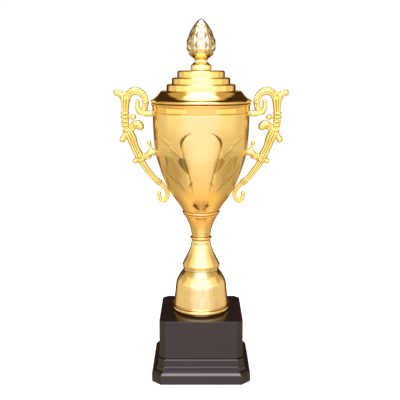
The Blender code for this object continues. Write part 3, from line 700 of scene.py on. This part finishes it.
# ---------------------------------------------------------------- handles
# Strokes of the left casting: channel depth, rib pitch, then (out from the axis, height, radius).
STROKES = [
    (0.42, 0.0, [(75.2, 250.6, 3.9), (76.0, 254.5, 3.0), (76.3, 258.0, 3.3), (76.5, 262.5, 3.5),
                 (76.5, 266.5, 3.4), (76.3, 271.0, 3.5), (76.1, 277.0, 4.0), (75.9, 282.0, 4.7),
                 (76.0, 284.6, 4.4)]),
    (0.25, 0.0, [(76.6, 279.0, 2.4), (78.4, 284.4, 2.9), (81.0, 287.4, 3.0), (84.4, 288.9, 2.7)]),
    (0.30, 2.3, [(74.6, 279.5, 2.6), (72.9, 286.0, 3.2), (69.4, 290.0, 3.8), (64.9, 290.9, 3.9),
                 (60.4, 289.0, 3.6), (57.0, 284.8, 3.3), (55.7, 279.4, 3.0), (56.4, 274.0, 2.9)]),
    (0.0, 0.0, [(56.2, 275.0, 2.9), (58.0, 270.6, 3.2), (61.0, 269.4, 2.8), (63.2, 272.0, 2.4),
                (63.9, 276.0, 2.3), (63.6, 279.8, 1.9)]),
    (0.0, 0.0, [(58.6, 271.0, 2.8), (58.2, 267.0, 2.9)]),
    (0.0, 0.0, [(76.0, 264.8, 1.6), (71.0, 264.8, 1.5), (69.4, 264.8, 1.7)]),
    (0.34, 0.0, [(73.2, 249.0, 3.6), (70.6, 253.4, 3.4), (67.2, 256.7, 3.7), (63.6, 257.4, 4.2),
                 (61.4, 255.6, 3.9)]),
    (0.25, 0.0, [(74.4, 250.4, 3.2), (77.4, 245.6, 2.7), (79.3, 242.4, 3.0)]),
    (0.40, 0.0, [(74.2, 252.2, 3.4), (71.8, 247.2, 4.7), (69.8, 242.6, 4.8), (68.2, 237.4, 4.2),
                 (66.1, 232.2, 4.0), (63.6, 227.4, 4.2), (62.0, 223.4, 3.8)]),
    (0.0, 0.0, [(63.4, 223.6, 2.5), (66.9, 220.4, 2.4)]),
    (0.35, 2.0, [(62.4, 224.2, 3.7), (57.6, 224.6, 3.4), (53.6, 226.0, 3.3), (51.0, 228.8, 2.9)]),
    (0.0, 0.0, [(51.0, 228.8, 2.6), (50.6, 232.4, 1.8), (51.6, 236.0, 1.4), (52.6, 238.8, 1.9)]),
    (0.38, 0.0, [(62.2, 223.0, 3.7), (58.4, 216.4, 3.1), (54.0, 210.4, 3.0), (49.2, 204.2, 2.8),
                 (45.6, 200.6, 2.7), (42.6, 198.2, 2.8), (40.2, 196.0, 2.4), (37.6, 193.2, 2.4),
                 (35.6, 190.3, 2.5), (34.5, 186.6, 2.5), (35.3, 182.4, 2.6), (38.2, 179.4, 2.6),
                 (41.3, 180.2, 2.5), (42.8, 183.4, 2.3), (43.0, 186.8, 2.0)]),
]
# Collars round a stroke: place, direction in degrees from outward, radius, half length.
COLLARS = [
    (76.5, 268.6, 92.0, 4.3, 0.7), (76.6, 265.0, 90.0, 4.5, 0.9), (76.4, 260.6, 88.0, 3.9, 0.7),
    (76.0, 256.4, 86.0, 3.9, 0.8), (74.9, 251.6, 70.0, 4.4, 0.9), (63.0, 225.4, 60.0, 4.7, 0.7),
    (60.9, 221.0, 60.0, 4.2, 0.7), (57.6, 224.6, 175.0, 3.9, 0.6), (53.0, 226.4, 150.0, 3.8, 0.6),
    (44.6, 199.8, 40.0, 3.3, 0.7), (42.4, 198.0, 40.0, 3.4, 0.6), (57.6, 272.4, 110.0, 3.5, 0.7),
    (66.6, 256.9, 160.0, 4.3, 0.6), (79.0, 285.0, 40.0, 3.4, 0.6), (55.7, 279.8, 92.0, 3.5, 0.7),
]
# Balls: out from the axis, height, radius.
BALLS = [(68.3, 264.8, 2.9), (84.6, 289.0, 3.2), (79.4, 242.3, 3.2), (66.9, 220.3, 2.6),
         (52.6, 238.8, 2.1), (61.2, 255.2, 3.7), (63.6, 280.2, 2.2), (43.0, 187.0, 2.3),
         (80.9, 290.0, 1.9), (76.2, 288.4, 2.0)]
RIB = 0.07
CHANNEL_AT, CHANNEL_WIDTH = 0.34, 0.15
HANDLE_DEPTH = 0.82
COLLAR_DEPTH = HANDLE_DEPTH + 0.04
BALL_DEPTH = HANDLE_DEPTH + 0.1
CASTING_VOXEL = 0.34
BOSS_CLEARANCE = 0.4
BOSS_TAPER = 0.92
# Where a boss meets the bowl: height, bowl radius there, boss end, boss radius, tilt.
BOSSES = [(268.5, 48.85, 57.4, 3.1, math.radians(1.0)),
          (229.6, 46.2, 53.4, 3.2, math.radians(10.5))]


def stroke_verts(points, groove, pitch, rings_per_span=8, around=36):
    """A tube in the X-Z plane: two channels down its front and back, cross ribs at a pitch."""
    fine = np.array(smooth(points, rings_per_span))
    centre, radius = fine[:, :2], fine[:, 2]
    if pitch:
        run = np.concatenate([[0.0], np.cumsum(np.linalg.norm(np.diff(centre, axis=0), axis=1))])
        radius = radius * (1.0 + RIB * np.cos(2 * np.pi * run / pitch))
    tangent = np.gradient(centre, axis=0)
    tangent /= np.linalg.norm(tangent, axis=1)[:, None]
    across = np.stack([tangent[:, 1], -tangent[:, 0]], axis=1)
    theta = np.linspace(0, 2 * np.pi, around, endpoint=False)
    in_plane = np.cos(theta)
    channels = np.exp(-((np.abs(in_plane) - CHANNEL_AT) / CHANNEL_WIDTH) ** 2)
    depth = np.sin(theta) * (1.0 - groove * channels)
    verts = []
    for spot, r, aside in zip(centre, radius, across):
        for c, d in zip(in_plane, depth):
            verts.append((-(spot[0] + aside[0] * r * c) * MM, d * r * HANDLE_DEPTH * MM,
                          (spot[1] + aside[1] * r * c) * MM + LIFT))
    rows = len(fine)
    faces = []
    for i in range(rows - 1):
        for k in range(around):
            after = (k + 1) % around
            faces.append((i * around + k, i * around + after, (i + 1) * around + after,
                          (i + 1) * around + k))
    faces.append(tuple(range(around - 1, -1, -1)))
    faces.append(tuple(range((rows - 1) * around, rows * around)))
    return verts, faces


def build_left_casting():
    """Strokes, collars, balls and bosses, joined into one skin."""
    bm = bmesh.new()
    for groove, pitch, points in STROKES:
        verts, faces = stroke_verts(points, groove, pitch)
        made = [bm.verts.new(v) for v in verts]
        for face in faces:
            bm.faces.new([made[i] for i in face])
    for out, height, turn, radius, half in COLLARS:
        matrix = (Matrix.Translation((-out * MM, 0.0, height * MM + LIFT))
                  @ Matrix.Diagonal((1.0, COLLAR_DEPTH, 1.0, 1.0))
                  @ Matrix.Rotation(math.radians(turn - 90.0), 4, "Y"))
        bmesh.ops.create_cone(bm, cap_ends=True, segments=32, radius1=radius * MM,
                              radius2=radius * MM, depth=2 * half * MM, matrix=matrix)
    for out, height, radius in BALLS:
        matrix = (Matrix.Translation((-out * MM, 0.0, height * MM + LIFT))
                  @ Matrix.Diagonal((1.0, BALL_DEPTH, 1.0, 1.0)))
        bmesh.ops.create_icosphere(bm, subdivisions=3, radius=radius * MM, matrix=matrix)
    for height, bowl_radius, end, radius, tilt in BOSSES:
        length = end - bowl_radius - BOSS_CLEARANCE
        matrix = (Matrix.Translation((-bowl_radius * MM, 0.0, height * MM + LIFT))
                  @ Matrix.Rotation(-math.pi / 2 - tilt, 4, "Y")
                  @ Matrix.Translation((0.0, 0.0, (BOSS_CLEARANCE + length / 2) * MM)))
        bmesh.ops.create_cone(bm, cap_ends=True, segments=32, radius1=radius * MM,
                              radius2=radius * BOSS_TAPER * MM, depth=length * MM,
                              matrix=matrix)
    bmesh.ops.recalc_face_normals(bm, faces=bm.faces)
    mesh = bpy.data.meshes.new("left_casting")
    bm.to_mesh(mesh)
    bm.free()
    obj = bpy.data.objects.new("left_casting", mesh)
    bpy.context.scene.collection.objects.link(obj)
    remesh = obj.modifiers.new("one skin", "REMESH")
    remesh.mode = "VOXEL"
    remesh.voxel_size = CASTING_VOXEL * MM
    relax = obj.modifiers.new("cast surface", "SMOOTH")
    relax.factor = 0.5
    relax.iterations = 2
    apply_modifiers(obj)
    return obj


def build_handles():
    """The left casting and its mirror image."""
    left = build_left_casting()
    mirrored = left.data.copy()
    mirrored.transform(Matrix.Diagonal((-1.0, 1.0, 1.0, 1.0)))
    mirrored.flip_normals()
    right = bpy.data.objects.new("right_casting", mirrored)
    bpy.context.scene.collection.objects.link(right)
    finish_piece(left, TROPHY, CAST, ["left_handle"], sharp=None)
    finish_piece(right, TROPHY, CAST, ["right_handle"], sharp=None)


# ---------------------------------------------------------------- lid and finial
TIER_TOPS = [LID_TOP, 304.0, 297.6, 291.1]
TIER_RADII = [23.7, 29.1, 34.5]
BUD_TIP = 361.6
BUD_FACETS = 12
FACET_OFFSET, FACET_SWELL = 0.05, 1.035
CALYX_FOOT = 319.1


def tier(radius, top, base):
    """One step of the lid: a round shoulder, a nearly upright wall and a small fillet."""
    shoulder = arc((radius - 1.5, top - 1.5), 1.5, 90, 2, 8)
    fillet = arc((radius + 0.5, base + 0.4), 0.4, 180, 270, 4)
    return shoulder + [(radius + 0.07, base + 1.0)] + fillet


def build_lid():
    """The stepped lid and the ring that centres it in the cup's mouth."""
    outline = [(STUD_HOLE, LID_TOP), (12.0, LID_TOP)]
    for radius, top, base in zip(TIER_RADII, TIER_TOPS, TIER_TOPS[1:]):
        outline += tier(radius, top, base)
    outline += [(38.8, 291.05)] + arc((39.4, 289.7), 1.35, 85, 45, 4)
    outline += smooth([(41.0, 289.9), (42.3, 288.1), (44.4, 285.8), (46.8, 283.8),
                       (49.0, 282.5), (50.0, 282.0)], 5)
    outline += arc((49.6, 280.75), 1.05, 60, -70, 8)
    finish_piece(shell("lid_fine", outline, LID_WALL, 224), LID, POLISHED,
                 ["lid_shell"])

    ring = [(45.9, 281.2), (47.2, 281.2), (47.2, 280.4), (48.9, 280.4), (48.9, BOWL_RIM + GAP),
            (47.3, BOWL_RIM + GAP), (47.3, 273.4), (46.8, 272.8), (45.9, 272.8)]
    locating = turned("locating_ring_fine", ring, 160)
    finish_piece(locating, LID_RING, AMBER, ["lid_locating_ring"])


def bud_radius(height):
    """The bud's radius at a height."""
    heights = [323.4, 325.2, 327.4, 329.6, 332.4, 336.0, 340.6, 345.0, 349.6, 353.6, 357.2,
               360.0]
    radii = [6.3, 9.4, 11.6, 13.0, 14.0, 14.3, 13.6, 12.1, 10.0, 7.8, 5.2, 2.4]
    return float(np.interp(height, heights, radii))


def build_bud():
    """A bud cut all over in small raised diamonds."""
    heights = [359.8, 357.0, 353.4, 349.2, 344.6, 340.0, 335.6, 331.4, 327.8, 324.6]
    around = BUD_FACETS
    turn_by = math.pi / around

    def place(radius, height, half_steps):
        angle = turn_by * half_steps - math.pi / 2
        return (radius * math.cos(angle) * MM, radius * math.sin(angle) * MM, height * MM + LIFT)

    verts = [(0.0, 0.0, BUD_TIP * MM + LIFT)]
    for row, height in enumerate(heights):
        verts += [place(bud_radius(height), height, 2 * k + row % 2) for k in range(around)]
    faces = [(0, 1 + k, 1 + (k + 1) % around) for k in range(around)]
    for row in range(len(heights) - 2):
        middle = 0.5 * (heights[row] + heights[row + 2])
        raised = FACET_OFFSET + FACET_SWELL * bud_radius(middle)
        for k in range(around):
            shift = row % 2
            top = 1 + row * around + k
            left = 1 + (row + 1) * around + (k - 1 + shift) % around
            right = 1 + (row + 1) * around + (k + shift) % around
            foot = 1 + (row + 2) * around + k
            peak = len(verts)
            verts.append(place(raised, middle, 2 * k + shift))
            faces += [(top, left, peak), (left, foot, peak),
                      (foot, right, peak), (right, top, peak)]
    # half diamonds close the first and the last row
    last = len(heights) - 1
    for k in range(around):
        faces.append((1 + k, 1 + around + k, 1 + (k + 1) % around))
        low = 1 + last * around
        high = 1 + (last - 1) * around
        shift = (last - 1) % 2
        faces.append((low + (k - 1 + shift) % around, low + (k + shift) % around, high + k))
    # the underside closes round a blind hole for the stud
    rim = 1 + last * around
    previous = rim
    for radius, height in ((4.0, 323.1), (STUD_HOLE, 323.0), (STUD_HOLE, 333.3)):
        first = len(verts)
        verts += [place(radius, height, 2 * k + last % 2) for k in range(around)]
        for k in range(around):
            after = (k + 1) % around
            faces.append((previous + k, first + k, first + after, previous + after))
        previous = first
    faces.append(tuple(previous + k for k in range(around)))
    bud = new_object("bud_faceted", verts, faces)
    bm = bmesh.new()
    bm.from_mesh(bud.data)
    bmesh.ops.recalc_face_normals(bm, faces=bm.faces)
    bm.to_mesh(bud.data)
    bm.free()
    finish_piece(bud, LID, CHAMPAGNE, ["finial_bud"], flat=True)


def build_finial():
    """The drum-shaped collar and the small cup under the bud."""
    base = LID_TOP + GAP
    collar = [(6.6, 318.8)] + arc((6.8, 317.9), 0.9, 85, 35, 4)
    collar += smooth([(8.4, 317.4), (9.3, 316.7)], 3) + arc((9.2, 315.7), 1.0, 45, 0, 4)
    collar += [(10.25, 312.4)] + arc((9.7, 311.7), 0.55, 0, -90, 4)
    collar += [(STUD_HOLE, base), (STUD_HOLE, 318.8)]
    finish_piece(turned("collar_fine", collar, 96), LID, PALE, ["finial_collar"])

    calyx = arc((12.2, 327.15), 0.3, 120, -60, 5)
    calyx += smooth([(12.1, 326.7), (10.6, 325.1), (8.6, 323.5), (6.9, 322.3), (6.2, 321.0),
                     (6.3, 319.6)], 5)
    calyx += [(6.2, CALYX_FOOT), (STUD_HOLE, CALYX_FOOT), (STUD_HOLE, 322.5), (6.9, 322.9),
              (9.7, 324.9)]
    finish_piece(turned("calyx_fine", calyx, 96), LID, PALE, ["finial_calyx"])


# ---------------------------------------------------------------- carried-over nodes
def dress(prefix, material):
    """Give CAD nodes that keep their mesh a better material."""
    for name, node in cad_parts.items():
        if name.startswith(prefix):
            for place in node.material_slots:
                place.material = material


def dress_fasteners():
    """Finishes of the inner hardware and the pads."""
    for prefix in ("tie_rod", "rod_", "handle_screw", "handle_washer", "finial_stud",
                   "finial_washer", "finial_nut"):
        dress(prefix, ZINC)
    dress("base_weight", IRON)
    dress("base_board", BOARD)
    dress("foot_pad", RUBBER)


# ---------------------------------------------------------------- stage, light and camera
WHITE = (1.0, 1.0, 1.0, 1.0)
# Tones of the studio's walls, softboxes and darker back, brighter than 1 where they glow.
SIDES = (0.98, 0.90, 0.68)
FRONT_LOW = (1.50, 1.42, 1.50)
LOW_SIDES = (0.68, 0.59, 0.38)
UNDER = (1.45, 1.05, 0.52)
FRONT_PANEL = (1.7, 1.72, 2.65)
DIM = (0.68, 0.54, 0.28)
OVERHEAD = (2.6, 2.6, 3.2)
TOP_BOX = (8.0, 7.9, 8.6)
RUST = (0.60, 0.33, 0.09)
DARK = (0.055, 0.032, 0.018)

LAMP_WHITE = (1.0, 0.98, 0.95)
LAMP_WARM = (1.0, 0.9, 0.68)
FLOOR_RADIUS = 1.1
FLOOR_GLOW = 0.3
CAMERA_LENS = 65.9
CAMERA_SENSOR = 36.0
CAMERA_PLACE = (-0.0011, -0.7394, 0.3196 + LIFT + 0.0005)
CAMERA_DIP = 0.1875


def world_light():
    """The studio as a world: soft zones of tone by direction, which the polished pieces mirror."""
    world = bpy.data.worlds.new("studio")
    bpy.context.scene.world = world
    world.use_nodes = True
    tree = world.node_tree
    tree.nodes.clear()

    def node(kind, **values):
        made = tree.nodes.new(kind)
        for key, value in values.items():
            setattr(made, key, value)
        return made

    def calc(operation, first, second=0.0):
        made = node("ShaderNodeMath", operation=operation)
        for value, target in ((first, made.inputs[0]), (second, made.inputs[1])):
            if isinstance(value, (int, float)):
                target.default_value = value
            else:
                tree.links.new(value, target)
        return made.outputs[0]

    def rise(value, edge, soft):
        made = node("ShaderNodeMapRange", interpolation_type="SMOOTHSTEP")
        made.inputs["From Min"].default_value = edge - soft
        made.inputs["From Max"].default_value = edge + soft
        tree.links.new(value, made.inputs["Value"])
        return made.outputs["Result"]

    def zone(value, low, high, soft):
        """1 between low and high, with soft ends."""
        return calc("MULTIPLY", rise(value, low, soft),
                    calc("SUBTRACT", 1.0, rise(value, high, soft)))

    where = node("ShaderNodeTexCoord")
    split = node("ShaderNodeSeparateXYZ")
    tree.links.new(where.outputs["Generated"], split.inputs[0])
    x, y, z = split.outputs
    turn = calc("MULTIPLY", calc("ARCTAN2", x, calc("MULTIPLY", y, -1.0)), 180.0 / math.pi)
    away = calc("ABSOLUTE", turn)
    height = calc("MULTIPLY", calc("ARCSINE", z), 180.0 / math.pi)

    # tone, then the degrees from the front and the degrees of height that it fills, with soft ends
    layers = [
        (LOW_SIDES, zone(away, 48.0, 200.0, 20.0), zone(height, -95.0, -16.0, 9.0)),
        (UNDER, zone(away, -90.0, 200.0, 1.0), zone(height, -95.0, -52.0, 12.0)),
        (FRONT_LOW, zone(away, -90.0, 36.0, 18.0), zone(height, -42.0, -7.0, 14.0)),
        (FRONT_PANEL, zone(away, -90.0, 42.0, 22.0), zone(height, -3.0, 62.0, 10.0)),
        (DIM, zone(away, 66.0, 200.0, 20.0), zone(height, 15.0, 66.0, 5.0)),
        (OVERHEAD, rise(height, 68.0, 5.0), rise(height, 60.0, 1.0)),
        (TOP_BOX, zone(away, -90.0, 46.0, 16.0), zone(height, 63.0, 79.0, 4.0)),
        (RUST, rise(away, 130.0, 8.0), zone(height, -91.0, 8.0, 3.0)),
        (DARK, rise(away, 122.0, 7.0), zone(height, 9.0, 57.0, 4.0)),
        (DARK, zone(away, 140.0, 166.0, 4.0), zone(height, -26.0, 58.0, 4.0)),
    ]
    tone = None
    for colour, across, up in layers:
        mix = node("ShaderNodeMix", data_type="RGBA")
        if tone is None:
            mix.inputs[COLOUR_A].default_value = (*SIDES, 1.0)
        else:
            tree.links.new(tone, mix.inputs[COLOUR_A])
        mix.inputs[COLOUR_B].default_value = (*colour, 1.0)
        tree.links.new(calc("MULTIPLY", across, up), mix.inputs["Factor"])
        tone = mix.outputs[COLOUR_OUT]

    studio = node("ShaderNodeBackground")
    tree.links.new(tone, studio.inputs["Color"])
    plain = node("ShaderNodeBackground")
    plain.inputs["Color"].default_value = WHITE
    path = node("ShaderNodeLightPath")
    chosen = node("ShaderNodeMixShader")
    tree.links.new(path.outputs["Is Camera Ray"], chosen.inputs[0])
    tree.links.new(studio.outputs[0], chosen.inputs[1])
    tree.links.new(plain.outputs[0], chosen.inputs[2])
    out = node("ShaderNodeOutputWorld")
    tree.links.new(chosen.outputs[0], out.inputs["Surface"])


def area_light(name, place, target, width, height, power, colour):
    """A softbox aimed at a point; sizes in metres, power in watts."""
    light = bpy.data.lights.new(name, "AREA")
    light.shape = "RECTANGLE"
    light.size = width
    light.size_y = height
    light.energy = power
    light.color = colour
    lamp = bpy.data.objects.new(name, light)
    lamp.location = place
    lamp.rotation_euler = (Vector(target) - Vector(place)).to_track_quat("-Z", "Y").to_euler()
    lamp.visible_camera = False
    bpy.context.scene.collection.objects.link(lamp)


def build_lights():
    """One softbox above and a weak warm one at each side."""
    area_light("top_softbox", (0.0, -0.35, 1.2), (0.0, 0.0, 0.3), 0.9, 0.7, 3.0, LAMP_WHITE)
    for side in (-1.0, 1.0):
        area_light("side_softbox", (side * 0.5, -0.3, 0.34), (0.0, 0.0, 0.16), 0.62, 0.36, 0.4,
                   LAMP_WARM)


def build_stage():
    """A round pale floor, kept out of the mirror reflections."""
    bpy.ops.mesh.primitive_circle_add(vertices=96, radius=FLOOR_RADIUS, fill_type="NGON")
    floor = bpy.context.object
    floor.name = "pale_floor"
    floor.location.z = -FLOOR_GAP
    n = Nodes("pale_floor")
    tone = n.spread(n.noise(3.0, 2.0), 0.0, 1.0)
    n.colour(n.blend(tone, (0.93, 0.93, 0.925), (0.95, 0.95, 0.945)))
    n.shader.inputs["Roughness"].default_value = 0.9
    n.shader.inputs["Specular IOR Level"].default_value = 0.1
    n.shader.inputs["Emission Color"].default_value = WHITE
    n.shader.inputs["Emission Strength"].default_value = FLOOR_GLOW
    floor.data.materials.append(n.material)
    floor.visible_glossy = False


def build_camera():
    """The viewpoint in front of the cup, at about the lid's height and dipped a little."""
    camera = bpy.data.cameras.new("camera")
    camera.sensor_width = CAMERA_SENSOR
    camera.lens = CAMERA_LENS
    eye = bpy.data.objects.new("camera", camera)
    eye.location = CAMERA_PLACE
    eye.rotation_euler = (math.pi / 2 - CAMERA_DIP, 0.0, 0.0)
    bpy.context.scene.collection.objects.link(eye)
    bpy.context.scene.camera = eye


def main():
    build_plinth()
    build_stem()
    build_bowl()
    build_handles()
    build_lid()
    build_bud()
    build_finial()
    dress_fasteners()
    build_stage()
    world_light()
    build_lights()
    build_camera()
    bpy.context.scene.view_settings.view_transform = "Standard"


main()
